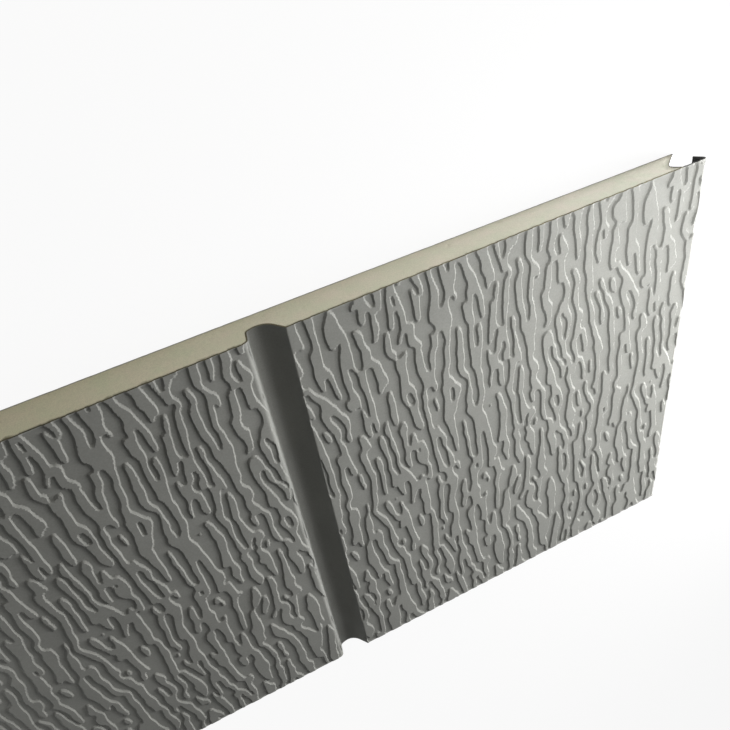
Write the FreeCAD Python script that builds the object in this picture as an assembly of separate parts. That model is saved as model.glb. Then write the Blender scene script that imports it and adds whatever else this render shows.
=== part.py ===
import FreeCAD, Part
import math
import os

# Insulated facade board: a short length sawn from a roll-formed, foam-filled wall board.
# It lies on its back: X across the board towards its hook edge, Y along it, Z up through its face.
# Sizes are in millimetres and angles in degrees.

Vector = FreeCAD.Vector

# Board
cover_width = 380.0         # wall that one board covers, from hook edge to hook edge
board_length = 200.0
board_thickness = 15.0      # underside of the foil to the face
plank_count = 2             # planks that the face is divided into
sheet_gauge = 0.4
foil_gauge = 0.2

# Groove between two planks, which comes again where two boards meet
groove_mouth = 13.2
groove_depth = 7.0
groove_wall_run = 1.5       # lean of the steep side over its depth
groove_ramp_run = 4.8       # lean of the sloped side over its depth
groove_radius = 6.5         # round bottom, which runs up into the sloped side
groove_bed_lean = 16.0      # from level, where the bottom leaves the steep side
groove_foot_radius = 1.2
plank_edge_radius = 0.7
lip_radius = 2.3            # rolled edge of the steep side

# Hook edge, and the slot below it that takes the next board's tongue
hook_radius = 1.8
hook_drop = 5.9
hook_lean = 25.0            # from upright, turned in under the plank
slot_roof = 11.5            # bare sheet beyond the foam
slot_depth = 14.4
slot_eye_drop = 5.2         # the deepest line of the slot, below the face
slot_radius = 2.6
slot_shoulder = 0.6         # blunt edge of the foam under the sheet
back_setback = 3.0          # back edge of the foam, inside the hook edge

# Tongue edge
joint_clearance = 0.5       # between a tongue and the slot that it enters
nose_radius = 0.8
sheet_return = 4.0          # sheet folded back under the tongue

fold_radius = 0.5           # folds in the foil


# The section is drawn with its hook edge at x = 0, and the outline runs clockwise,
# so the foam is always on the right hand of a path. A path is a list of (corner, radius).

def at(x, z):
    return Vector(x, 0, z)


def foam_side(start, end):
    along = (end - start).normalize()
    return Vector(along.z, 0, -along.x)


def inset(path, depth):
    """The same path, moved towards the foam."""
    first_side = foam_side(path[0][0], path[1][0])
    last_side = foam_side(path[-2][0], path[-1][0])
    moved = [(path[0][0] + first_side * depth, 0)]
    for (before, _), (corner, radius), (after, _) in zip(path, path[1:], path[2:]):
        side_in = foam_side(before, corner)
        side_out = foam_side(corner, after)
        turns_in = side_in.dot(after - corner) > 0
        shift = (side_in + side_out) * (depth / (1 + side_in.dot(side_out)))
        moved.append((corner + shift, radius - depth if turns_in else radius + depth))
    return moved + [(path[-1][0] + last_side * depth, 0)]


def line(start, end):
    return Part.LineSegment(start, end).toShape()


def rounded(path):
    """Straight runs joined by tangent arcs at the corners."""
    edges = []
    start = path[0][0]
    for (before, _), (corner, radius), (after, _) in zip(path, path[1:], path[2:]):
        back = (before - corner).normalize()
        onward = (after - corner).normalize()
        half_angle = back.getAngle(onward) / 2
        reach = radius / math.tan(half_angle)
        arc_top = radius / math.sin(half_angle) - radius
        arc_start = corner + back * reach
        arc_middle = corner + (back + onward).normalize() * arc_top
        arc_end = corner + onward * reach
        edges.append(line(start, arc_start))
        edges.append(Part.Arc(arc_start, arc_middle, arc_end).toShape())
        start = arc_end
    return edges + [line(start, path[-1][0])]


def along_board(edges):
    """Solid with this section, over the length of the board."""
    section = Part.Face(Part.Wire(Part.sortEdges(edges)[0]))
    return section.extrude(Vector(0, board_length, 0))


def skin(path, gauge):
    """Thin sheet with its outer side on the path."""
    inner = inset(path, gauge)
    ends = [line(path[0][0], inner[0][0]), line(path[-1][0], inner[-1][0])]
    return along_board(rounded(path) + rounded(inner) + ends)


# Levels and places that the two edges share
face = board_thickness
groove_floor = face - groove_depth
plank_pitch = cover_width / plank_count
slot_eye = at(-slot_depth, face - slot_eye_drop)
back_tip = at(-back_setback, 0)

# The tongue lies along the slot of the board beside it, one cover width away
next_board = at(-cover_width, 0)
slope = (back_tip - slot_eye).normalize()
gap = Vector(-slope.z, 0, slope.x) * joint_clearance
tongue_eye = slot_eye + next_board + gap


def on_tongue(level):
    """Point on the underside of the tongue at this height."""
    return tongue_eye + slope * ((level - tongue_eye.z) / slope.z)


nose = on_tongue(groove_floor)
tongue_back = on_tongue(0)
return_end = nose + slope * sheet_return


def groove_corners(lip):
    """Corners that the bottom of a groove is rounded from: at the steep side, and below the middle."""
    ramp = math.atan2(groove_depth, groove_ramp_run)
    bed = math.radians(groove_bed_lean)
    middle_height = groove_radius - groove_depth
    middle_reach = (groove_radius - middle_height * math.cos(ramp)) / math.sin(ramp)
    corner_reach = groove_radius / math.cos((ramp + bed) / 2)
    corner_turn = (ramp - bed) / 2
    bottom = at(lip + groove_mouth - middle_reach + corner_reach * math.sin(corner_turn),
                face + middle_height - corner_reach * math.cos(corner_turn))
    wall = at(groove_wall_run, -groove_depth)
    to_bottom = bottom - at(lip, face)
    bed_side = at(math.sin(bed), math.cos(bed))
    foot = at(lip, face) + wall * (to_bottom.dot(bed_side) / wall.dot(bed_side))
    return foot, bottom


# Face sheet: round the tongue, over each plank and its groove, and down the hook
sheet_path = [(return_end, 0), (nose, nose_radius)]
for plank in range(plank_count):
    left = -cover_width + plank * plank_pitch
    right = left + plank_pitch
    if plank == 0:
        ramp_foot = left + groove_mouth - groove_ramp_run
        sheet_path.append((at(ramp_foot, groove_floor), groove_radius))
    sheet_path.append((at(left + groove_mouth, face), plank_edge_radius))
    if plank < plank_count - 1:
        foot, bottom = groove_corners(right)
        sheet_path.append((at(right, face), lip_radius))
        sheet_path.append((foot, groove_foot_radius))
        sheet_path.append((bottom, groove_radius))

hook_turn = math.radians(90 + hook_lean)
hook_corner = hook_radius * (math.tan(hook_turn / 2) - 1)
hook_end = hook_corner - hook_drop * math.tan(math.radians(hook_lean))
planks_path = list(sheet_path)
sheet_path.append((at(hook_corner, face), hook_radius))
sheet_path.append((at(hook_end, face - hook_drop), 0))
face_sheet = skin(sheet_path, sheet_gauge)

# Foil: down the slot, across the back, and up under the tongue to the sheet
roof = face - sheet_gauge
foil_path = [
    (at(-slot_roof, roof), 0),
    (at(-slot_roof, roof - slot_shoulder), fold_radius),
    (slot_eye, slot_radius),
    (back_tip, fold_radius),
    (tongue_back, fold_radius),
    (return_end, 0),
]
foil_backing = skin(foil_path, foil_gauge)

# Foam: all that the sheet and the foil enclose
foam_top = inset(planks_path + [(at(-slot_roof - foil_gauge, face), 0)], sheet_gauge)
foam_bottom = inset(foil_path, foil_gauge)
sheet_end = line(foam_top[0][0], foam_bottom[-1][0])
foam_core = along_board(rounded(foam_top) + rounded(foam_bottom) + [sheet_end])

# The middle of the back goes to the origin
pieces = {"face_sheet": face_sheet, "foam_core": foam_core, "foil_backing": foil_backing}
extent = face_sheet.optimalBoundingBox(False)
middle = Vector((extent.XMin + extent.XMax) / 2, board_length / 2, 0)
os.makedirs("parts", exist_ok=True)
for node, piece in pieces.items():
    piece.translate(-middle)
    piece.exportStep("parts/" + node + ".step")
    print(node, "valid" if piece.isValid() else "broken", round(piece.Volume / 1000, 3), "cm3")
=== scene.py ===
# Steel-faced insulation board, lying on its foil back with the embossed face up
import bpy
import bmesh
import math
import numpy as np
from mathutils import Matrix, Vector


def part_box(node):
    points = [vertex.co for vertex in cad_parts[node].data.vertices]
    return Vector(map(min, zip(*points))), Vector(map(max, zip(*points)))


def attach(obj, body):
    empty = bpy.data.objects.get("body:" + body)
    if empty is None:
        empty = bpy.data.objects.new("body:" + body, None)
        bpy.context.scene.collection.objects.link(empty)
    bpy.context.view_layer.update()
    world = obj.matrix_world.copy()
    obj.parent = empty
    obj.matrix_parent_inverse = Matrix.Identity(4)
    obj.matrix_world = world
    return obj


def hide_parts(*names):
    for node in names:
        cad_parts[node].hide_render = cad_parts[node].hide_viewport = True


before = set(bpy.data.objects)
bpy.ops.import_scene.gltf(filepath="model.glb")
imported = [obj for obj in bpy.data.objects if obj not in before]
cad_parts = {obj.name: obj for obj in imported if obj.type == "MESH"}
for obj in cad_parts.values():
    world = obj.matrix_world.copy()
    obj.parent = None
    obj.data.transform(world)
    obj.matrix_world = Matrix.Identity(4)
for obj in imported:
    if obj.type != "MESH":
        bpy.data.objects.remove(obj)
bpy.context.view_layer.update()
mm = 0.001

sheetLow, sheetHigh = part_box("face_sheet")
faceLevel = sheetHigh.z
hookEdge = sheetHigh.x
boardLength = sheetHigh.y - sheetLow.y

# The section that the sheet and the foil are folded to, as in the solids
section = {
    "coverWidth": 380 * mm,
    "plankCount": 2,
    "sheetGauge": 0.4 * mm,
    "foilGauge": 0.2 * mm,
    "grooveMouth": 13.2 * mm,
    "grooveDepth": 7.0 * mm,
    "grooveWallRun": 1.5 * mm,
    "grooveRampRun": 4.8 * mm,
    "grooveRadius": 6.5 * mm,
    "grooveBedLean": 16,         # degrees from level
    "grooveFootRadius": 1.2 * mm,
    "plankEdgeRadius": 0.7 * mm,
    "lipRadius": 2.3 * mm,
    "hookRadius": 1.8 * mm,
    "hookDrop": 5.9 * mm,
    "hookLean": 25,              # degrees from upright
    "slotRoof": 11.5 * mm,
    "slotDepth": 14.4 * mm,
    "slotEyeDrop": 5.2 * mm,
    "slotRadius": 2.6 * mm,
    "slotShoulder": 0.6 * mm,
    "backSetback": 3.0 * mm,
    "jointClearance": 0.5 * mm,
    "noseRadius": 0.8 * mm,
    "sheetReturn": 4.0 * mm,
    "foldRadius": 0.5 * mm,
    "foilStart": 0.4 * mm,       # below the sheet, so no cell reaches it
    "arcStep": 3,                # degrees of a bend to one sample
}


# A fold line is a list of (x, z, radius) corners, with the foam on its right hand
def bendLine(corners):
    spots = [Vector(corner[:2]) for corner in corners]
    length = 0.0
    spot = spots[0]
    head = math.atan2(*(spots[1] - spots[0]).yx)
    samples = [(length, *spot, head)]
    stops = [length]
    for corner, onward, (_, _, radius) in zip(spots[1:], spots[2:], corners[1:]):
        turn = math.atan2(*(onward - corner).yx) - head
        turn = (turn + math.pi) % (2 * math.pi) - math.pi
        ahead = Vector((math.cos(head), math.sin(head)))
        bendStart = corner - ahead * radius * math.tan(abs(turn) / 2)
        length += (bendStart - spot).length
        samples.append((length, *bendStart, head))
        stops.append(length)
        toCentre = math.copysign(radius, turn)
        centre = bendStart + toCentre * ahead.orthogonal()
        steps = math.ceil(abs(turn) / math.radians(section["arcStep"]))
        for step in range(steps):
            head += turn / steps
            length += radius * abs(turn) / steps
            spot = centre - toCentre * Vector((-math.sin(head), math.cos(head)))
            samples.append((length, *spot, head))
        stops.append(length)
    length += (spots[-1] - spot).length
    samples.append((length, *spots[-1], head))
    stops.append(length)
    return {"samples": np.array(samples).T, "stops": np.array(stops)}


# Where the bend at a corner starts and ends along the line
def bendAt(line, corner):
    return line["stops"][2 * corner - 1:2 * corner + 1]


def onLine(line, along, inward):
    length, x, z, head = line["samples"]
    turned = np.interp(along, length, head)
    return (np.interp(along, length, x) + np.sin(turned) * inward,
            np.interp(along, length, z) - np.cos(turned) * inward)


# Corners that the bottom of a groove is rounded from: at the steep side, and below the middle
def grooveCorners(lip):
    depth, radius = section["grooveDepth"], section["grooveRadius"]
    ramp = math.atan2(depth, section["grooveRampRun"])
    bed = math.radians(section["grooveBedLean"])
    middleReach = (radius - (radius - depth) * math.cos(ramp)) / math.sin(ramp)
    cornerReach = radius / math.cos((ramp + bed) / 2)
    cornerTurn = (ramp - bed) / 2
    start = Vector((lip, faceLevel))
    bottom = start + Vector((section["grooveMouth"] - middleReach + cornerReach * math.sin(cornerTurn),
                             radius - depth - cornerReach * math.cos(cornerTurn)))
    wall = Vector((section["grooveWallRun"], -depth))
    bedSide = Vector((math.sin(bed), math.cos(bed)))
    foot = start + wall * ((bottom - start).dot(bedSide) / wall.dot(bedSide))
    return foot, bottom


def foldLines():
    grooveFloor = faceLevel - section["grooveDepth"]
    pitch = section["coverWidth"] / section["plankCount"]
    eye = Vector((-section["slotDepth"], faceLevel - section["slotEyeDrop"]))
    tip = Vector((-section["backSetback"], 0))
    slope = (tip - eye).normalized()
    tongueEye = eye + slope.orthogonal() * section["jointClearance"]
    tongueEye.x -= section["coverWidth"]

    def onTongue(level):
        return tongueEye + slope * ((level - tongueEye.y) / slope.y)

    nose = onTongue(grooveFloor)
    returnEnd = nose + slope * section["sheetReturn"]
    sheet = [(*returnEnd, 0), (*nose, section["noseRadius"])]
    for plank in range(section["plankCount"]):
        left = plank * pitch - section["coverWidth"]
        right = left + pitch
        if plank == 0:
            rampFoot = left + section["grooveMouth"] - section["grooveRampRun"]
            sheet.append((rampFoot, grooveFloor, section["grooveRadius"]))
        sheet.append((left + section["grooveMouth"], faceLevel, section["plankEdgeRadius"]))
        if plank < section["plankCount"] - 1:
            foot, bottom = grooveCorners(right)
            sheet.append((right, faceLevel, section["lipRadius"]))
            sheet.append((*foot, section["grooveFootRadius"]))
            sheet.append((*bottom, section["grooveRadius"]))
    hookTurn = math.radians(90 + section["hookLean"])
    hookCorner = section["hookRadius"] * (math.tan(hookTurn / 2) - 1)
    hookEnd = hookCorner - section["hookDrop"] * math.tan(math.radians(section["hookLean"]))
    sheet.append((hookCorner, faceLevel, section["hookRadius"]))
    sheet.append((hookEnd, faceLevel - section["hookDrop"], 0))

    roof = faceLevel - section["sheetGauge"]
    foil = [
        (-section["slotRoof"], roof - section["foilStart"], 0),
        (-section["slotRoof"], roof - section["slotShoulder"], section["foldRadius"]),
        (*eye, section["slotRadius"]),
        (*tip, section["foldRadius"]),
        (*onTongue(0), section["foldRadius"]),
        (*returnEnd, 0),
    ]
    return [bendLine([(x + hookEdge, z, radius) for x, z, radius in corners]) for corners in (sheet, foil)]


sheetLine, foilLine = foldLines()
print("section folded:", round(sheetLine["stops"][-1] / mm, 1), "mm of sheet across the board")


# Embossing: ridges and sunken cells, from a roll that prints the same pattern again and again
embossing = {
    "depth": 0.57 * mm,
    "wallWidth": 0.58 * mm,      # from the top of a cell's wall to its foot
    "wallEase": 0.04 * mm,       # less where a wall faces the hook edge, and more where it faces away
    "edgePress": 0.35,           # relief left at a sawn end, where the blade pressed the sheet
    "overEdge": 0.45,            # relief left where a plank's rounded edge ends
    "faceDrop": 0.1 * mm,        # the whole relief is higher than this drop from the face
    "edgeDrop": 2.5 * mm,        # and there is none below this one
    "wallShare": 0.3,            # a face that drops by more of the depth than this is a wall
    "repeat": 135.4 * mm,        # round the roll
    "repeatSlip": 2.1 * mm,      # the roll's pattern moves along the board each turn
    "tileLength": 220 * mm,      # more than the board, so nothing comes twice along it
    "tileCell": 0.25 * mm,
    "pitch": 6.6 * mm,           # from one cell to the next across the board
    "pitchSpread": 0.08,         # in waves a millimetre
    "longCells": 5.2 * mm,
    "shortCells": 2.3 * mm,
    "shortShare": 0.8,
    "shortCloser": 1.1,          # short cells lie this many times closer
    "lean": 4.2,                 # degrees from the board's length
    "wiggle": 0.2 * mm,
    "wiggleSize": (2.5 * mm, 3.5 * mm),
    "drift": 1.0 * mm,
    "driftSize": (12 * mm, 16 * mm),
    "cellBias": 0.05,            # more cell than ridge
    "tidy": 0.7 * mm,            # rounds the ends of the cells
    "wall": 0.45 * mm,
    "plankStep": 0.5 * mm,
    "rowCount": 226,
    "seed": 11,
}


# The roll as a tile, 1 on the ridges and 0 on the cell floors
tileShape = (round(embossing["tileLength"] / embossing["tileCell"]),
             round(embossing["repeat"] / embossing["tileCell"]))
tileSize = (embossing["tileLength"], embossing["repeat"])
waveAlong = np.fft.fftfreq(tileShape[0], tileSize[0] / tileShape[0])[:, None]
waveAcross = np.fft.fftfreq(tileShape[1], tileSize[1] / tileShape[1])[None, :]


def filtered(field, response):
    return np.fft.ifft2(np.fft.fft2(field) * response).real


def blurred(field, across, along):
    spread = (across * waveAcross) ** 2 + (along * waveAlong) ** 2
    return filtered(field, np.exp(-2 * math.pi ** 2 * spread))


def evened(field):
    return field / field.std()


def softNoise(rng, across, along):
    return evened(blurred(rng.standard_normal(tileShape), across, along))


def readTile(tile, across, along):
    column = across / tileSize[1] * tileShape[1]
    row = along / tileSize[0] * tileShape[0]
    columnLow = np.floor(column).astype(int)
    rowLow = np.floor(row).astype(int)
    columnShare = column - columnLow
    rowShare = row - rowLow
    upper, lower = rowLow % tileShape[0], (rowLow + 1) % tileShape[0]
    left, right = columnLow % tileShape[1], (columnLow + 1) % tileShape[1]
    top = tile[upper, left] * (1 - columnShare) + tile[upper, right] * columnShare
    bottom = tile[lower, left] * (1 - columnShare) + tile[lower, right] * columnShare
    return top * (1 - rowShare) + bottom * rowShare


def cellStreaks(rng, pitch, reach):
    leaned = waveAlong + math.tan(math.radians(embossing["lean"])) * waveAcross
    spread = embossing["pitchSpread"] / mm
    pitchShare = np.exp(-0.5 * ((np.abs(waveAcross) - 1 / pitch) / spread) ** 2)
    reachShare = np.exp(-0.5 * (2 * math.pi * leaned * reach) ** 2)
    return evened(filtered(rng.standard_normal(tileShape), pitchShare * reachShare))


def embossTile():
    rng = np.random.default_rng(embossing["seed"])
    streaks = cellStreaks(rng, embossing["pitch"], embossing["longCells"])
    shortPitch = embossing["pitch"] / embossing["shortCloser"]
    streaks += embossing["shortShare"] * cellStreaks(rng, shortPitch, embossing["shortCells"])
    slip = embossing["wiggle"] * softNoise(rng, *embossing["wiggleSize"])
    slip += embossing["drift"] * softNoise(rng, *embossing["driftSize"])
    rows, columns = np.indices(tileShape)
    streaks = readTile(streaks, columns * embossing["tileCell"] + slip, rows * embossing["tileCell"])
    ridges = (evened(streaks) > embossing["cellBias"]).astype(float)
    ridges = (blurred(ridges, embossing["tidy"], embossing["tidy"]) > 0.5).astype(float)
    return blurred(ridges, embossing["wall"], embossing["wall"])


ridgeTile = embossTile()
print("embossing roll cut, ridge share", round(float(ridgeTile.mean()), 2))


def ridgeAt(along, y):
    slip = embossing["repeatSlip"] * along / embossing["repeat"]
    return readTile(ridgeTile, along, sheetHigh.y - y - slip)


# Distance from the middle of a cell's wall, positive on the ridge.
# The tile's walls are blurred, and the first terms of the inverse error function undo that.
def wallDistance(along, y):
    highest = 0.95
    third, fifth = 0.262, 0.144
    height = np.clip(2 * ridgeAt(along, y) - 1, -highest, highest)
    unblurred = height + third * height ** 3 + fifth * height ** 5
    return embossing["wall"] * math.sqrt(math.pi / 2) * unblurred


# Share of the relief: whole on a plank, less over its rounded edges, none in the groove
def reliefShare(along):
    stops = sheetLine["stops"]
    drop = faceLevel - onLine(sheetLine, stops, 0)[1]
    onEdge = np.where(drop < embossing["edgeDrop"], embossing["overEdge"], 0)
    share = np.where(drop < embossing["faceDrop"], 1, onEdge)
    return np.interp(along, stops, share)


# Neighbours that lie on both sides of a wall
def besideWall(raised):
    beside = np.zeros(raised.shape, bool)
    for axis in (0, 1):
        change = np.diff(raised, axis=axis)
        beside |= np.insert(change, 0, False, axis) | np.insert(change, change.shape[axis], False, axis)
    return beside


# Points beside a wall move onto its top or its foot, so the walls run clean and narrow
def settleOnWalls(along, y):
    nudge = 0.1 * mm                             # to either side of a point, for the slope there
    leastSlope = 1e-6
    leastPull = 0.2                              # slope squared, so a shallow wall throws no point far
    wholeRelief = 0.999
    farAcross, farAlong = 0.8, 0.5               # share of the way to the next point
    atSawnEnd = 0.5
    leastGap = 0.2                               # share of a step, kept between neighbours
    passes = 4
    distance = wallDistance(along, y)
    raised = distance > 0
    slopeX = (wallDistance(along + nudge, y) - wallDistance(along - nudge, y)) / (2 * nudge)
    slopeY = (wallDistance(along, y + nudge) - wallDistance(along, y - nudge)) / (2 * nudge)
    beside = besideWall(raised) & (reliefShare(along) > wholeRelief)
    facing = slopeX / np.maximum(np.hypot(slopeX, slopeY), leastSlope)
    target = np.where(raised, 0.5, -0.5) * (embossing["wallWidth"] + embossing["wallEase"] * facing)
    pull = np.maximum(slopeX ** 2 + slopeY ** 2, leastPull)
    slide = np.where(beside, (target - distance) / pull, 0)
    step = np.diff(along[0])
    nearest = np.minimum(np.append(step, step[-1]), np.insert(step, 0, step[0]))
    reachX = farAcross * np.minimum(embossing["plankStep"], nearest)
    reachY = farAlong * boardLength / embossing["rowCount"]
    slideX = np.clip(slide * slopeX, -reachX, reachX)
    slideY = np.clip(slide * slopeY, -reachY, reachY)
    slideX[[0, -1]] *= atSawnEnd
    slideY[[0, -1]] = 0
    along = along + slideX
    for _ in range(passes):                      # neighbours that met are set apart again
        overlap = np.maximum(leastGap * step - np.diff(along), 0) / 2
        along[:, :-1] -= overlap
        along[:, 1:] += overlap
    return along, y + slideY, raised


# Columns across a sheet: close on a plank, wider on other flats, by the turn in a bend
def columnsOn(line, first, last, plankStep, flatStep, bendSteps):
    leastTurn = 0.01                             # radians, below which a stretch is straight
    leastColumns = 3                             # in a bend
    nearFace = 0.01 * mm
    cuts = [first, *[stop for stop in line["stops"] if first < stop < last], last]
    columns = [first]
    for start, end in zip(cuts, cuts[1:]):
        startHead, endHead = np.interp([start, end], line["samples"][0], line["samples"][3])
        turn = abs(endHead - startHead)
        if turn > leastTurn:
            count = max(leastColumns, math.ceil(turn * bendSteps))
        else:
            height = onLine(line, (start + end) / 2, 0)[1]
            step = plankStep if abs(height - faceLevel) < nearFace else flatStep
            count = max(1, round((end - start) / step))
        columns.extend(np.linspace(start, end, count + 1)[1:])
    return np.array(columns)


def finishMesh(bm, name, materials):
    bmesh.ops.recalc_face_normals(bm, faces=bm.faces)
    gaps = sum(1 for edge in bm.edges if not edge.is_manifold)
    mesh = bpy.data.meshes.new(name)
    bm.to_mesh(mesh)
    bm.free()
    for material in materials:
        mesh.materials.append(material)
    piece = bpy.data.objects.new(name, mesh)
    bpy.context.collection.objects.link(piece)
    mesh.calc_loop_triangles()
    print(name, len(mesh.loop_triangles), "triangles,", gaps, "open edges")
    return piece


# Edges whose two points are both in the set
def edgesAmong(edges, verts):
    return [edge for edge in edges if all(vert in verts for vert in edge.verts)]


# The near end was sawn by hand: the blade leaned more and more, out at the face and in at the back
sawCut = {
    "upright": -33 * mm,         # where the blade stood upright
    "lean": 0.0061,
    "square": 125 * mm,          # where the cut crosses the board's end
    "skew": 0.002,
}


def sawn(x, y, z):
    wander = sawCut["lean"] * (x - sawCut["upright"]) * (2 * z / faceLevel - 1)
    wander = wander + sawCut["skew"] * (x - sawCut["square"])
    return y + wander * np.clip((y - sheetLow.y) / boardLength, 0, 1)


# The edges are drawn out to new points, each placed by what it came from
def drawOut(bm, edges, place):
    drawn = bmesh.ops.extrude_edge_only(bm, edges=edges)["geom"]
    verts = {item for item in drawn if isinstance(item, bmesh.types.BMVert)}
    for vert in verts:
        vert.co = place(vert)
    faces = [item for item in drawn if isinstance(item, bmesh.types.BMFace)]
    return verts, edgesAmong([item for item in drawn if isinstance(item, bmesh.types.BMEdge)], verts), faces


# Points of a flat blank, each with its row and column
def layBlank(bm, rowCount, columnCount):
    blank = bmesh.ops.create_grid(bm, x_segments=columnCount - 1, y_segments=rowCount - 1, size=0.5)
    return {vert: divmod(index, columnCount) for index, vert in enumerate(blank["verts"])}


# A filled rim starts at its lowest corner, so every run splits it into the same triangles
def refill(bm, face):
    ring = list(face.verts)
    first = min(range(len(ring)), key=lambda place: tuple(ring[place].co))
    ring = ring[first:] + ring[:first]
    if tuple(ring[1].co) > tuple(ring[-1].co):
        ring = ring[:1] + ring[:0:-1]
    materialIndex, smooth = face.material_index, face.smooth
    bm.faces.remove(face)
    filled = bm.faces.new(ring)
    filled.material_index = materialIndex
    filled.smooth = smooth


# Places in a sheet's list of materials, after its face
cutIndex = 1
backIndex = 2


# A sheet is rolled from a flat blank: its relief first, then the folds, then its thickness.
# From column bareFrom on, the back of the sheet shows and follows the relief.
# Before it, foam hides the back.
# Faces that drop by more than crease are walls, and stand out sharply from the rest.
def rollSheet(name, line, along, y, inward, deepest, crease, gauge, burr, lap, bareFrom, materials):
    rowCount, columnCount = along.shape
    faceX, faceZ = onLine(line, along, inward)
    thickness = np.full((rowCount, 1), gauge)
    thickness[[0, -1]] += burr
    backX, backZ = onLine(line, along, inward + thickness)
    y = sawn(faceX, y, faceZ)
    bm = bmesh.new()
    columnOf = bm.verts.layers.int.new("column")
    rowOf = bm.verts.layers.int.new("row")
    blank = layBlank(bm, rowCount, columnCount)
    for vert, (row, column) in blank.items():
        vert.co = (faceX[row, column], y[row, column], faceZ[row, column])
        vert[rowOf] = row
        vert[columnOf] = column
    for face in bm.faces:
        face.smooth = True
        depths = [inward[vert[rowOf], vert[columnOf]] for vert in face.verts]
        face.tag = bool(max(depths) - min(depths) > crease)
    for edge in bm.edges:
        if len({face.tag for face in edge.link_faces}) == 2:
            edge.smooth = False

    def onBack(vert):
        spot = vert[rowOf], vert[columnOf]
        return backX[spot], y[spot], backZ[spot]

    bareFaces = [face for face in bm.faces if min(vert[columnOf] for vert in face.verts) >= bareFrom]
    weld = set()
    if bareFaces:
        copied = bmesh.ops.duplicate(bm, geom=bareFaces)["geom"]
        weld = {item for item in copied if isinstance(item, bmesh.types.BMVert)}
        for vert in weld:
            vert.co = onBack(vert)
        for item in copied:
            if isinstance(item, bmesh.types.BMFace):
                item.material_index = backIndex

    hiddenRims = []
    for endRow, inboard in ((0, lap), (rowCount - 1, -lap)):
        ends = {vert for vert in blank if vert[rowOf] == endRow}
        outer = edgesAmong(bm.edges, ends)
        for edge in outer:
            edge.smooth = False
        rimVerts, rimEdges, rimFaces = drawOut(bm, outer, onBack)
        weld |= rimVerts
        for face in rimFaces:
            face.material_index = cutIndex
        hidden = [edge for edge in rimEdges if max(vert[columnOf] for vert in edge.verts) <= bareFrom]
        hiddenX, hiddenZ = onLine(line, along[endRow], deepest + gauge)

        def behindFoam(vert):
            return hiddenX[vert[columnOf]], y[endRow, vert[columnOf]] + inboard, hiddenZ[vert[columnOf]]

        hiddenRims.extend(drawOut(bm, hidden, behindFoam)[1])
    bmesh.ops.bridge_loops(bm, edges=hiddenRims)
    samePlace = 0.0001 * mm
    bmesh.ops.remove_doubles(bm, verts=list(weld), dist=samePlace)
    openRims = [edge for edge in bm.edges if edge.is_boundary]
    for edge in openRims:
        edge.smooth = False
    for face in bmesh.ops.holes_fill(bm, edges=openRims, sides=0)["faces"]:
        refill(bm, face)
    return finishMesh(bm, name, materials)


steel = bpy.data.materials.new("coated_steel_satin")
cutEdge = bpy.data.materials.new("cut_metal_edge")
foilEdge = bpy.data.materials.new("cut_foil_edge")
slotEdgeShade = bpy.data.materials.new("slot_cut_edge_painted_shade")
backCoatPaintedShade = bpy.data.materials.new("sheet_back_coat_painted_shade")
sawnFoam = bpy.data.materials.new("sawn_rigid_foam")
foilFinish = bpy.data.materials.new("aluminium_foil")


# The cut edges round the slot take the last of a piece's materials, a near-black tone that is painted shade
# of the slot over the cut edges
def shadeSlotEdges(piece, firstX, firstZ):
    slotShadeIndex = len(piece.data.materials) - 1
    for face in piece.data.polygons:
        if face.material_index == cutIndex and face.center.x > firstX and face.center.z > firstZ:
            face.material_index = slotShadeIndex


faceSheet = {
    "endLap": 0.8 * mm,          # the sheet's own thickness shows this far in from a sawn end
    "burr": 0.2 * mm,            # the saw thickens a cut edge
    "lipOverlap": 0.4 * mm,      # bare back of the lip, carried in over the foam
    "flatStep": 1.5 * mm,
    "bendSteps": 6,              # columns to a radian
}


def makeFaceSheet():
    stops = sheetLine["stops"]
    grooveFoot, grooveBottom, hookCorner = 5, 6, 8          # corners of the sheet's fold line
    bedStart = bendAt(sheetLine, grooveFoot)[1]
    bedEnd = bendAt(sheetLine, grooveBottom)[0]
    seam = (bedStart + bedEnd) / 2               # on the flat bed of the groove
    bareBack = section["slotRoof"] - section["hookRadius"] + faceSheet["lipOverlap"]
    lipStart = bendAt(sheetLine, hookCorner)[0] - bareBack
    rows = np.linspace(sheetLow.y, sheetHigh.y, embossing["rowCount"])
    press = np.ones((len(rows), 1))
    press[[0, -1]] = embossing["edgePress"]
    crease = embossing["wallShare"] * embossing["depth"]
    pieces, edges = [], []
    for name, first, last in (("face_sheet_tongue_side", stops[0], seam),
                              ("face_sheet_hook_side", seam, stops[-1])):
        columns = columnsOn(sheetLine, first, last, embossing["plankStep"], faceSheet["flatStep"],
                            faceSheet["bendSteps"])
        along, y, raised = settleOnWalls(*np.meshgrid(columns, rows))
        deepest = embossing["depth"] * reliefShare(columns)
        inward = np.where(raised, 0, embossing["depth"] * reliefShare(along) * press)
        bareFrom = int(np.searchsorted(columns, lipStart))
        piece = rollSheet(name, sheetLine, along, y, inward, deepest, crease, section["sheetGauge"],
                          faceSheet["burr"], faceSheet["endLap"], bareFrom,
                          (steel, cutEdge, backCoatPaintedShade, slotEdgeShade))
        shadeSlotEdges(piece, hookEdge - section["slotRoof"], 0)
        pieces.append(piece)
        ends = np.stack([along[[0, -1]], inward[[0, -1]], np.stack([deepest, deepest])])
        edges.append(ends[..., :bareFrom + 1])
    return pieces, np.concatenate([edges[0], edges[1][..., 1:]], axis=2)


sheetPieces, sheetEdges = makeFaceSheet()


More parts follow.
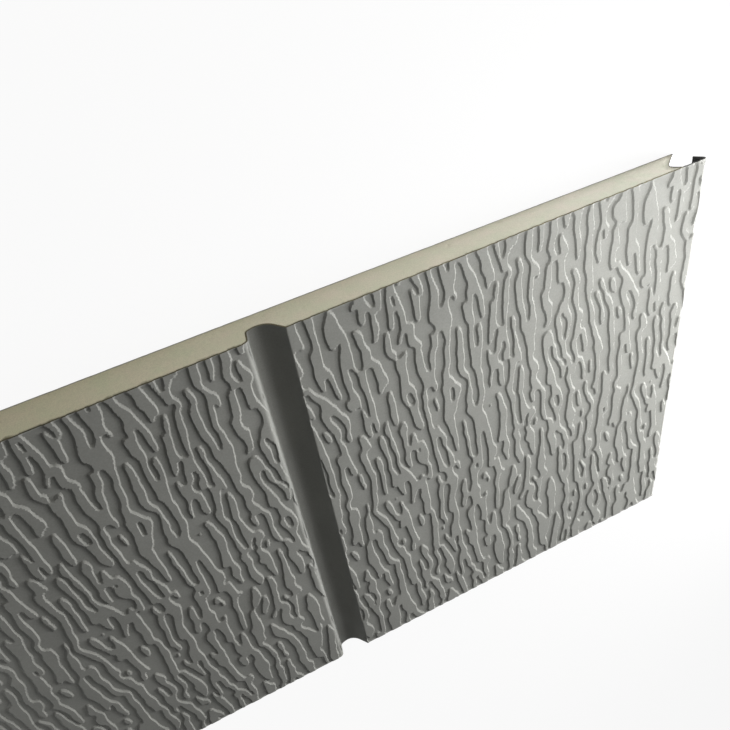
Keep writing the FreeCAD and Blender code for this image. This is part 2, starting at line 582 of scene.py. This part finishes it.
# Foam, sawn through with the sheet at both ends
foamCore = {
    "recess": 0.2 * mm,          # the saw pulls the foam in below the edge of the steel
    "lap": 0.8 * mm,
    "rowCount": 27,
    "leastStep": 0.02 * mm,      # from one column to the next
    "roughness": 0.03 * mm,
    "roughSize": 0.8 * mm,
    "pits": 26,
    "pitHeight": (0.3, 14),      # in millimetres
    "pitSink": (0.1, 1),         # share of the height, so more pits lie low
    "pitDepth": 0.5 * mm,
    "pitShare": (0.4, 1),        # of the depth
    "pitSize": (0.35 * mm, 0.8 * mm),
    "pitStretch": (0.8, 2.2),    # across the board
    "slotSeamShare": 0.4,            # the dark strip is wider along the slot, by this share of the distance
    "seed": 23,
}


# A patch of points between four edges: back, sheet, tongue side and slot side
def fillPatch(back, sheet, tongue, slot, across):
    down = np.linspace(0, 1, len(tongue))[:, None, None]
    across = across[None, :, None]
    ruled = (1 - down) * back[None] + down * sheet[None]
    sides = (1 - across) * tongue[:, None] + across * slot[:, None]
    corners = (1 - down) * ((1 - across) * back[0] + across * back[-1])
    corners = corners + down * ((1 - across) * sheet[0] + across * sheet[-1])
    return ruled + sides - corners


def foamPatch(along, inward):
    gauge = section["foilGauge"]
    sheet = np.array(onLine(sheetLine, along, inward)).T
    nose = sheet[:, 0].argmin()
    sheet[nose:, 0] = np.maximum.accumulate(sheet[nose:, 0])
    roofEnd = (hookEdge - section["slotRoof"] - gauge, sheet[-1, 1])
    sheet = np.vstack([sheet, roofEnd])
    steps = np.maximum(np.diff(sheet[:, 0]), foamCore["leastStep"])
    across = np.concatenate([[0], np.cumsum(steps)])
    across /= across[-1]
    tipCorner, heelCorner = 3, 4                 # of the foil's fold line
    tip = sum(bendAt(foilLine, tipCorner)) / 2
    heel = sum(bendAt(foilLine, heelCorner)) / 2
    back = np.array(onLine(foilLine, heel + across * (tip - heel), gauge)).T
    count = foamCore["rowCount"]
    slot = np.array(onLine(foilLine, np.linspace(tip, 0, count), gauge)).T
    tongue = np.linspace(back[0], sheet[0], count)
    slot[-1] = sheet[-1]
    return fillPatch(back, sheet, tongue, slot, across)


def makeFoam():
    rng = np.random.default_rng(foamCore["seed"])
    rough = softNoise(rng, foamCore["roughSize"], foamCore["roughSize"])
    bm = bmesh.new()
    columnOf = bm.verts.layers.int.new("column")
    rowOf = bm.verts.layers.int.new("row")
    seamOf = bm.verts.layers.float.new("seam")
    rings = []
    for endIndex, end, outward in ((0, sheetLow.y, -1), (1, sheetHigh.y, 1)):
        along, inward, deepest = sheetEdges[:, endIndex]
        cutFace = foamPatch(along, inward + section["sheetGauge"])
        inner = foamPatch(along, deepest + section["sheetGauge"])
        rowCount, columnCount = cutFace.shape[:2]
        x, z = cutFace[..., 0], cutFace[..., 1]
        fromSheet = np.linalg.norm(cutFace - cutFace[-1:], axis=2)
        fromSlot = np.linalg.norm(cutFace - cutFace[:, -1:], axis=2)
        seam = np.minimum(fromSheet, foamCore["slotSeamShare"] * fromSlot)
        hollow = foamCore["roughness"] * np.abs(readTile(rough, x, z))
        for _ in range(foamCore["pits"]):
            pitX = rng.uniform(x.min(), x.max())
            pitZ = rng.uniform(*foamCore["pitHeight"]) * mm * rng.uniform(*foamCore["pitSink"])
            size = rng.uniform(*foamCore["pitSize"])
            stretch = rng.uniform(*foamCore["pitStretch"])
            dent = np.exp(-((x - pitX) / (size * stretch)) ** 2 - ((z - pitZ) / size) ** 2)
            hollow += foamCore["pitDepth"] * rng.uniform(*foamCore["pitShare"]) * dent
        hollow[[0, -1]] = 0
        hollow[:, [0, -1]] = 0
        cut = sawn(x, end, z) - outward * (foamCore["recess"] + hollow)
        grid = layBlank(bm, rowCount, columnCount)
        for vert, (row, column) in grid.items():
            vert.co = (x[row, column], cut[row, column], z[row, column])
            vert[rowOf] = row
            vert[columnOf] = column
            vert[seamOf] = seam[row, column]
        rim = [edge for edge in edgesAmong(bm.edges, grid) if edge.is_boundary]
        for edge in rim:
            edge.smooth = False

        def underSheet(vert):
            spot = inner[vert[rowOf], vert[columnOf]]
            return spot[0], sawn(spot[0], end, spot[1]) - outward * foamCore["lap"], spot[1]

        rings.extend(drawOut(bm, rim, underSheet)[1])
    for face in bm.faces:
        face.smooth = True
    bmesh.ops.bridge_loops(bm, edges=rings)
    return finishMesh(bm, "foam_core_sawn", (sawnFoam,))


foam = makeFoam()


# Foil: bonded over the back, with the fine creases of a thin laminate
foilBack = {
    "creases": 9,
    "creaseDepth": 0.12 * mm,
    "creasePitch": (14, 46),     # in millimetres
    "creaseWidth": 0.9 * mm,
    "creaseShare": (0.2, 1),     # of the depth
    "sway": 1.5 * mm,
    "swaySize": 9 * mm,
    "ripple": 0.25,              # share of the depth
    "rippleSize": 5 * mm,
    "rippleTurns": 2,
    "wall": 1 * mm,              # more than any crease drops, so none is a wall
    "burr": 0,
    "slotShadeFrom": 0.4 * mm,       # height on the slot's edge
    "columnStep": 1.3 * mm,
    "rowCount": 150,
    "bendSteps": 5,
    "endLap": 0.8 * mm,
    "seed": 7,
}


def foilCreases(along, y):
    rng = np.random.default_rng(foilBack["seed"])
    swaySize, rippleSize = foilBack["swaySize"], foilBack["rippleSize"]
    sway = foilBack["sway"] * readTile(softNoise(rng, swaySize, swaySize), along, y)
    depth = np.zeros_like(along)
    for _ in range(foilBack["creases"]):
        heading = rng.uniform(0, math.pi)
        pitch = rng.uniform(*foilBack["creasePitch"]) * mm
        across = along * math.cos(heading) + y * math.sin(heading) + sway
        fold = np.abs((across / pitch + rng.uniform()) % 1 - 0.5) * 2
        beside = (1 - fold) * pitch / foilBack["creaseWidth"]
        depth += np.exp(-beside ** 2) * rng.uniform(*foilBack["creaseShare"])
    waves = readTile(softNoise(rng, rippleSize, rippleSize), along, y)
    ripple = foilBack["ripple"] * (1 + np.sin(waves * foilBack["rippleTurns"]))
    return foilBack["creaseDepth"] * np.clip(depth + ripple, 0, 1)


def makeFoil():
    stops = foilLine["stops"]
    columns = columnsOn(foilLine, stops[0], stops[-1], foilBack["columnStep"], foilBack["columnStep"],
                        foilBack["bendSteps"])
    along, y = np.meshgrid(columns, np.linspace(sheetLow.y, sheetHigh.y, foilBack["rowCount"]))
    deepest = np.full(len(columns), foilBack["creaseDepth"])
    piece = rollSheet("foil_backing_laminate", foilLine, along, y, foilCreases(along, y), deepest,
                      foilBack["wall"], section["foilGauge"], foilBack["burr"], foilBack["endLap"],
                      len(columns), (foilFinish, foilEdge, slotEdgeShade))
    shadeSlotEdges(piece, 0, foilBack["slotShadeFrom"])
    return piece


foil = makeFoil()


# Finishes
def addNode(tree, kind, **values):
    node = tree.nodes.new(kind)
    for name, value in values.items():
        setattr(node, name, value)
    return node


def setInputs(node, values):
    for name, value in values.items():
        node.inputs[name].default_value = value


# A value in the first range comes out in the second
def addRange(tree, given=(0, 1), wanted=(0, 1)):
    node = addNode(tree, "ShaderNodeMapRange")
    setInputs(node, {"From Min": given[0], "From Max": given[1], "To Min": wanted[0], "To Max": wanted[1]})
    return node


def startGroup(name, inputs, outputs):
    group = bpy.data.node_groups.new(name, "ShaderNodeTree")
    for label, kind, value in inputs:
        socket = group.interface.new_socket(label, in_out="INPUT", socket_type=kind)
        socket.default_value = value
    for label, kind in outputs:
        group.interface.new_socket(label, in_out="OUTPUT", socket_type=kind)
    return group, group.nodes.new("NodeGroupInput"), group.nodes.new("NodeGroupOutput")


# Two tones clouded into each other, with a finer speckle over them
def cloudedGroup():
    group, given, result = startGroup("clouded_tone", [
        ("Tone", "NodeSocketColor", (0.5, 0.5, 0.5, 1)),
        ("Second Tone", "NodeSocketColor", (0.4, 0.4, 0.4, 1)),
        ("Cloud Scale", "NodeSocketFloat", 60),
        ("Speckle Scale", "NodeSocketFloat", 900),
        ("Speckle", "NodeSocketFloat", 0.1),
    ], [("Color", "NodeSocketColor"), ("Mask", "NodeSocketFloat")])
    place = addNode(group, "ShaderNodeTexCoord")
    clouds = addNode(group, "ShaderNodeTexNoise")
    setInputs(clouds, {"Detail": 3, "Roughness": 0.55})
    speckle = addNode(group, "ShaderNodeTexNoise")
    setInputs(speckle, {"Detail": 2, "Roughness": 0.6})
    spread = addRange(group, (0.3, 0.7))
    toned = addNode(group, "ShaderNodeMix", data_type="RGBA")
    fleck = addRange(group, (0.35, 0.65), (-0.5, 0.5))
    strength = addNode(group, "ShaderNodeMath", operation="MULTIPLY_ADD")
    strength.inputs[2].default_value = 1
    flecked = addNode(group, "ShaderNodeVectorMath", operation="SCALE")
    wire = group.links.new
    wire(place.outputs["Object"], clouds.inputs["Vector"])
    wire(place.outputs["Object"], speckle.inputs["Vector"])
    wire(given.outputs["Cloud Scale"], clouds.inputs["Scale"])
    wire(given.outputs["Speckle Scale"], speckle.inputs["Scale"])
    wire(clouds.outputs["Fac"], spread.inputs["Value"])
    wire(spread.outputs["Result"], toned.inputs["Factor"])
    wire(given.outputs["Tone"], toned.inputs["A"])
    wire(given.outputs["Second Tone"], toned.inputs["B"])
    wire(speckle.outputs["Fac"], fleck.inputs["Value"])
    wire(fleck.outputs["Result"], strength.inputs[0])
    wire(given.outputs["Speckle"], strength.inputs[1])
    wire(toned.outputs["Result"], flecked.inputs[0])
    wire(strength.outputs["Value"], flecked.inputs["Scale"])
    wire(flecked.outputs["Vector"], result.inputs["Color"])
    wire(spread.outputs["Result"], result.inputs["Mask"])
    return group


# A fine uneven surface, as a height for a bump
def grainGroup():
    group, given, result = startGroup("fine_grain", [
        ("Scale", "NodeSocketFloat", 900),
        ("Stretch", "NodeSocketVector", (1, 1, 1)),
    ], [("Height", "NodeSocketFloat")])
    place = addNode(group, "ShaderNodeTexCoord")
    stretched = addNode(group, "ShaderNodeVectorMath", operation="MULTIPLY")
    grain = addNode(group, "ShaderNodeTexNoise")
    setInputs(grain, {"Detail": 4, "Roughness": 0.6})
    wire = group.links.new
    wire(place.outputs["Object"], stretched.inputs[0])
    wire(given.outputs["Stretch"], stretched.inputs[1])
    wire(stretched.outputs["Vector"], grain.inputs["Vector"])
    wire(given.outputs["Scale"], grain.inputs["Scale"])
    wire(grain.outputs["Fac"], result.inputs["Height"])
    return group


# Share of the way across the board, between a place on the groove side and one on the hook side
def acrossGroup():
    group, given, result = startGroup("across_board", [
        ("From", "NodeSocketFloat", -0.06),
        ("To", "NodeSocketFloat", 0.15),
    ], [("Share", "NodeSocketFloat")])
    place = addNode(group, "ShaderNodeTexCoord")
    split = addNode(group, "ShaderNodeSeparateXYZ")
    share = addRange(group)
    wire = group.links.new
    wire(place.outputs["Object"], split.inputs["Vector"])
    wire(split.outputs["X"], share.inputs["Value"])
    wire(given.outputs["From"], share.inputs["From Min"])
    wire(given.outputs["To"], share.inputs["From Max"])
    wire(share.outputs["Result"], result.inputs["Share"])
    return group


clouded = cloudedGroup()
grain = grainGroup()
acrossBoard = acrossGroup()
even = (1, 1, 1)                 # a grain that isn't stretched


# A grain is its scale, its stretch, and the strength and depth of its bump.
# The roughness goes from that of the first tone to that of the second.
def finishMaterial(material, tones, grains, roughness, plain):
    material.use_nodes = True
    tree = material.node_tree
    shader = tree.nodes["Principled BSDF"]
    setInputs(shader, plain)
    tone = addNode(tree, "ShaderNodeGroup", node_tree=clouded)
    setInputs(tone, tones)
    tree.links.new(tone.outputs["Color"], shader.inputs["Base Color"])
    shine = addRange(tree, wanted=roughness)
    tree.links.new(tone.outputs["Mask"], shine.inputs["Value"])
    tree.links.new(shine.outputs["Result"], shader.inputs["Roughness"])
    normal = None
    for scale, stretch, strength, distance in grains:
        height = addNode(tree, "ShaderNodeGroup", node_tree=grain)
        setInputs(height, {"Scale": scale, "Stretch": stretch})
        bump = addNode(tree, "ShaderNodeBump")
        setInputs(bump, {"Strength": strength, "Distance": distance})
        tree.links.new(height.outputs["Height"], bump.inputs["Height"])
        if normal:
            tree.links.new(normal, bump.inputs["Normal"])
        normal = bump.outputs["Normal"]
    tree.links.new(normal, shader.inputs["Normal"])
    return tree, shader


finishMaterial(
    steel,
    {"Tone": (0.285, 0.287, 0.267, 1), "Second Tone": (0.257, 0.259, 0.241, 1),
     "Cloud Scale": 38, "Speckle Scale": 1500, "Speckle": 0.10},
    [(1800, even, 0.25, 0.05 * mm), (900, (1, 0.12, 1), 0.15, 0.06 * mm)], (0.46, 0.56),
    {"Specular IOR Level": 0.04})
# Sawn steel edges: dark olive, partly the cut steel and partly painted shade along the thin edge
edgeTree, edgeShader = finishMaterial(
    cutEdge,
    {"Tone": (0.080, 0.070, 0.036, 1), "Second Tone": (0.030, 0.026, 0.013, 1),
     "Cloud Scale": 400, "Speckle Scale": 2500, "Speckle": 0.3},
    [(2500, even, 0.4, 0.05 * mm)], (0.35, 0.6), {"Specular IOR Level": 0.15})
finishMaterial(
    foilEdge,
    {"Tone": (0.46, 0.46, 0.43, 1), "Second Tone": (0.30, 0.30, 0.27, 1),
     "Cloud Scale": 150, "Speckle Scale": 2500, "Speckle": 0.2},
    [(2500, even, 0.3, 0.05 * mm)], (0.5, 0.7), {})
# Cut edges round the slot: near black, as painted shade of the slot over the edges
finishMaterial(
    slotEdgeShade,
    {"Tone": (0.040, 0.038, 0.032, 1), "Second Tone": (0.018, 0.017, 0.014, 1),
     "Cloud Scale": 400, "Speckle Scale": 2500, "Speckle": 0.3},
    [(2500, even, 0.4, 0.05 * mm)], (0.35, 0.6), {"Specular IOR Level": 0.15})
# Back coat of the sheet, toned near black as painted shade of the hollow under the hook
finishMaterial(
    backCoatPaintedShade,
    {"Tone": (0.040, 0.041, 0.040, 1), "Second Tone": (0.028, 0.029, 0.028, 1),
     "Cloud Scale": 60, "Speckle Scale": 1500, "Speckle": 0.15},
    [(1800, even, 0.25, 0.05 * mm)], (0.35, 0.5), {"Specular IOR Level": 0.3})
foamTree, foamShader = finishMaterial(
    sawnFoam,
    {"Tone": (0.665, 0.67, 0.50, 1), "Second Tone": (0.735, 0.68, 0.54, 1),
     "Cloud Scale": 110, "Speckle Scale": 2600, "Speckle": 0.14},
    [(2800, even, 0.4, 0.08 * mm), (500, (1, 1, 0.2), 0.15, 0.1 * mm)], (0.85, 0.95), {})
finishMaterial(
    foilFinish,
    {"Tone": (0.70, 0.70, 0.71, 1), "Second Tone": (0.58, 0.58, 0.60, 1),
     "Cloud Scale": 55, "Speckle Scale": 1800, "Speckle": 0.08},
    [(420, even, 0.25, 0.2 * mm)], (0.28, 0.42), {"Metallic": 1.0})


# A dark olive strip on the foam where it meets the sheet and the foil of the slot: partly glue and saw
# dust, partly painted shade under those edges
seamLine = {
    "tone": (0.095, 0.082, 0.036, 1),
    "width": (0.8 * mm, 2.2 * mm),
    "scale": 260,
    "patches": (0.5, 0.85),      # heights of the grain that the width follows
    "softEdge": (0.3, 1.3),      # shares of the width
    "fade": 0.45,                # painted light: share of the dark strip left at the hook side, where the light is brighter
}


# Painted light: the foam and the cut edges are tinted paler and whiter from the groove side to the hook
# side, standing in for the brighter light on the hook side
paintedLightTints = {
    "foam": ((1, 0.985, 0.935, 1), (1.03, 1.055, 1.175, 1)),
    "cutEdge": ((1, 1, 1, 1), (3.2, 3.2, 3.2, 1)),
}


# Multiplies a colour by a tint that runs from the groove side to the hook side: painted light
def addPaintedLightTint(tree, shader, grooveTint, hookTint):
    clean = shader.inputs["Base Color"].links[0].from_socket
    share = addNode(tree, "ShaderNodeGroup", node_tree=acrossBoard)
    tint = addNode(tree, "ShaderNodeMix", data_type="RGBA")
    setInputs(tint, {"A": grooveTint, "B": hookTint})
    tinted = addNode(tree, "ShaderNodeMix", data_type="RGBA", blend_type="MULTIPLY")
    setInputs(tinted, {"Factor": 1})
    tree.links.new(share.outputs["Share"], tint.inputs["Factor"])
    tree.links.new(clean, tinted.inputs["A"])
    tree.links.new(tint.outputs["Result"], tinted.inputs["B"])
    tree.links.new(tinted.outputs["Result"], shader.inputs["Base Color"])


# Mixes the dark strip into the foam's colour: glue with painted shade, paler toward the hook side as
# painted light
def addSeam(tree, shader):
    clean = shader.inputs["Base Color"].links[0].from_socket
    distance = addNode(tree, "ShaderNodeAttribute", attribute_name="seam")
    patches = addNode(tree, "ShaderNodeGroup", node_tree=grain)
    setInputs(patches, {"Scale": seamLine["scale"], "Stretch": even})
    width = addRange(tree, seamLine["patches"], seamLine["width"])
    share = addNode(tree, "ShaderNodeMath", operation="DIVIDE")
    mask = addRange(tree, seamLine["softEdge"], (1, 0))
    across = addNode(tree, "ShaderNodeGroup", node_tree=acrossBoard)
    fade = addRange(tree, wanted=(1, seamLine["fade"]))
    faded = addNode(tree, "ShaderNodeMath", operation="MULTIPLY")
    smeared = addNode(tree, "ShaderNodeMix", data_type="RGBA")
    setInputs(smeared, {"B": seamLine["tone"]})
    tree.links.new(patches.outputs["Height"], width.inputs["Value"])
    tree.links.new(distance.outputs["Fac"], share.inputs[0])
    tree.links.new(width.outputs["Result"], share.inputs[1])
    tree.links.new(share.outputs["Value"], mask.inputs["Value"])
    tree.links.new(across.outputs["Share"], fade.inputs["Value"])
    tree.links.new(mask.outputs["Result"], faded.inputs[0])
    tree.links.new(fade.outputs["Result"], faded.inputs[1])
    tree.links.new(faded.outputs["Value"], smeared.inputs["Factor"])
    tree.links.new(clean, smeared.inputs["A"])
    tree.links.new(smeared.outputs["Result"], shader.inputs["Base Color"])


addPaintedLightTint(foamTree, foamShader, *paintedLightTints["foam"])
addSeam(foamTree, foamShader)
addPaintedLightTint(edgeTree, edgeShader, *paintedLightTints["cutEdge"])
print("finishes made")


# Floor, light and camera
onFace = (0.08, 0.03, 0.01)      # where most lamps aim
studio = {
    "floorSize": 6.0,
    "floorTone": (0.86, 0.86, 0.86, 1),
    "floorRoughness": 0.9,
    "lamps": {                   # place, aim, length and width, watts, colour, spread in degrees
        "side": ((0.456, -0.039, 0.101), onFace, (0.16, 0.16), 2.70, (1, 1, 1), 180),
        "high": ((0.268, 0.044, 0.177), onFace, (0.12, 0.12), 0.383, (1, 1, 1), 180),
        "corner": ((0.165, 0.096, 0.1), onFace, (0.08, 0.08), 0.073, (1, 1, 1), 180),
        "end": ((0.105, 0.397, 0.10), onFace, (0.09, 0.09), 0.275, (1, 0.97, 0.90), 180),
        "tongue": ((-0.315, 0.0, 0.15), (-0.205, 0.0, 0.0), (0.24, 0.05), 0.05, (1, 1, 1), 50),
    },
    "ambient": 0.107,
    "floorGlow": 0.92,           # share of the floor's white that no shadow takes
}


# The share of the backdrop's own white, for rays that see it
def backdropShare(tree, share):
    rays = addNode(tree, "ShaderNodeLightPath")
    seen = addNode(tree, "ShaderNodeMath", operation="MAXIMUM")
    either = addNode(tree, "ShaderNodeMath", operation="MAXIMUM")
    scaled = addNode(tree, "ShaderNodeMath", operation="MULTIPLY")
    scaled.inputs[1].default_value = share
    tree.links.new(rays.outputs["Is Camera Ray"], seen.inputs[0])
    tree.links.new(rays.outputs["Is Glossy Ray"], seen.inputs[1])
    tree.links.new(seen.outputs["Value"], either.inputs[0])
    tree.links.new(rays.outputs["Is Transmission Ray"], either.inputs[1])
    tree.links.new(either.outputs["Value"], scaled.inputs[0])
    return scaled.outputs["Value"]


def makeFloor():
    bm = bmesh.new()
    bmesh.ops.create_grid(bm, x_segments=1, y_segments=1, size=studio["floorSize"] / 2)
    mesh = bpy.data.meshes.new("floor")
    bm.to_mesh(mesh)
    bm.free()
    floor = bpy.data.objects.new("floor", mesh)
    bpy.context.collection.objects.link(floor)
    pale = bpy.data.materials.new("pale_floor")
    pale.use_nodes = True
    tree = pale.node_tree
    shader = tree.nodes["Principled BSDF"]
    setInputs(shader, {"Base Color": studio["floorTone"], "Roughness": studio["floorRoughness"],
                       "Specular IOR Level": 0.0})
    glow = addNode(tree, "ShaderNodeEmission")
    mixed = addNode(tree, "ShaderNodeMixShader")
    tree.links.new(backdropShare(tree, studio["floorGlow"]), mixed.inputs["Fac"])
    tree.links.new(shader.outputs["BSDF"], mixed.inputs[1])
    tree.links.new(glow.outputs["Emission"], mixed.inputs[2])
    tree.links.new(mixed.outputs["Shader"], tree.nodes["Material Output"].inputs["Surface"])
    mesh.materials.append(pale)


def hangLamps():
    for name, (place, aim, size, watts, colour, spread) in studio["lamps"].items():
        light = bpy.data.lights.new(name, "AREA")
        light.shape = "RECTANGLE"
        light.size, light.size_y = size
        light.spread = math.radians(spread)
        light.energy = watts
        light.color = colour
        lamp = bpy.data.objects.new(name, light)
        turned = (Vector(aim) - Vector(place)).to_track_quat("-Z", "Y").to_matrix().to_4x4()
        lamp.matrix_world = Matrix.Translation(place) @ turned
        bpy.context.collection.objects.link(lamp)


def makeWorld():
    world = bpy.data.worlds.new("studio")
    bpy.context.scene.world = world
    world.use_nodes = True
    tree = world.node_tree
    soft = tree.nodes["Background"]
    setInputs(soft, {"Color": (1, 1, 1, 1), "Strength": studio["ambient"]})
    white = addNode(tree, "ShaderNodeBackground")
    setInputs(white, {"Color": (1, 1, 1, 1), "Strength": 1.0})
    mixed = addNode(tree, "ShaderNodeMixShader")
    tree.links.new(backdropShare(tree, 1.0), mixed.inputs["Fac"])
    tree.links.new(soft.outputs["Background"], mixed.inputs[1])
    tree.links.new(white.outputs["Background"], mixed.inputs[2])
    tree.links.new(mixed.outputs["Shader"], tree.nodes["World Output"].inputs["Surface"])


makeFloor()
hangLamps()
makeWorld()
bpy.context.scene.view_settings.view_transform = "Standard"


# Camera, solved from the board's edges and the repeat of the embossing
viewpoint = {
    "place": Vector((-25.06, 251.20, 216.38)) * mm,
    "look": Vector((0.24472, -0.64567, -0.72334)),
    "up": Vector((0.37510, 0.75098, -0.54344)),
    "lens": 38.059,
    "sensor": 36,
    "nearest": 10 * mm,
}


def makeCamera():
    data = bpy.data.cameras.new("camera")
    data.sensor_width = viewpoint["sensor"]
    data.lens = viewpoint["lens"]
    data.clip_start = viewpoint["nearest"]
    camera = bpy.data.objects.new("camera", data)
    look, up = viewpoint["look"], viewpoint["up"]
    turned = Matrix((look.cross(up), up, -look)).transposed()
    camera.matrix_world = Matrix.Translation(viewpoint["place"]) @ turned.to_4x4()
    bpy.context.collection.objects.link(camera)
    bpy.context.scene.camera = camera


makeCamera()
print("studio lit and camera placed")

for piece in sheetPieces:
    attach(piece, "root")
    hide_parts("face_sheet")
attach(foam, "root")
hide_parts("foam_core")
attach(foil, "root")
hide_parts("foil_backing")
